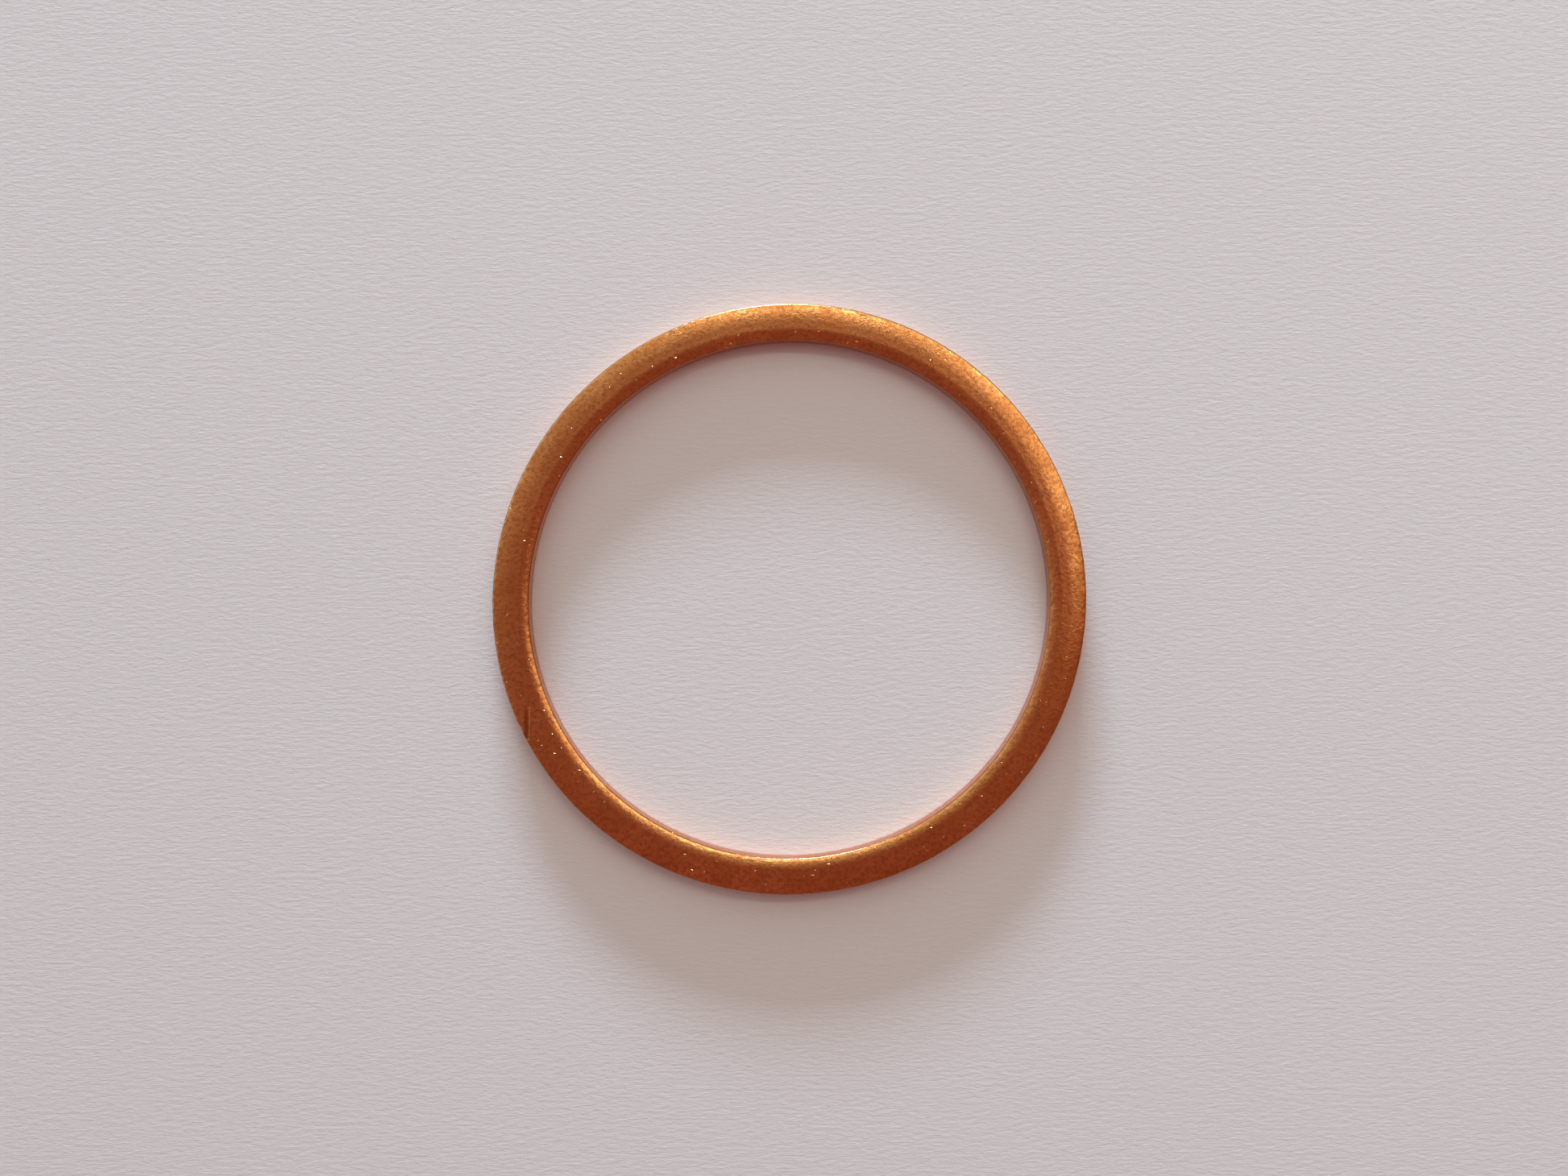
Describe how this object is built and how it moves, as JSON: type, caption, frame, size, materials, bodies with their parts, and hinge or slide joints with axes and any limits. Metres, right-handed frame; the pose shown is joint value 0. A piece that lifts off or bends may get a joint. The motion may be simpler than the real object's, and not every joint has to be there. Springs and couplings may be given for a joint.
{
  "type": "flat washer",
  "caption": "Flat ring washer punched from soft copper sheet, with a plain bore, rolled-over upper edges and a flat lower face, for sealing under a screwed collar or plug.",
  "frame": {"origin": "centre of the lower (die side) face, on the ring's axis", "axes": "+Z along the bore axis, from the lower face to the rolled-over upper face; +X and +Y in the plane of the ring, with no preferred direction"},
  "size_m": [0.0549, 0.0548, 0.002],
  "materials": {
    "copper": "satin tumbled soft copper, lightly tarnished, with fine scratches"
  },
  "bodies": {
    "root": {"sealing_ring": "copper"}
  },
  "joints": []
}
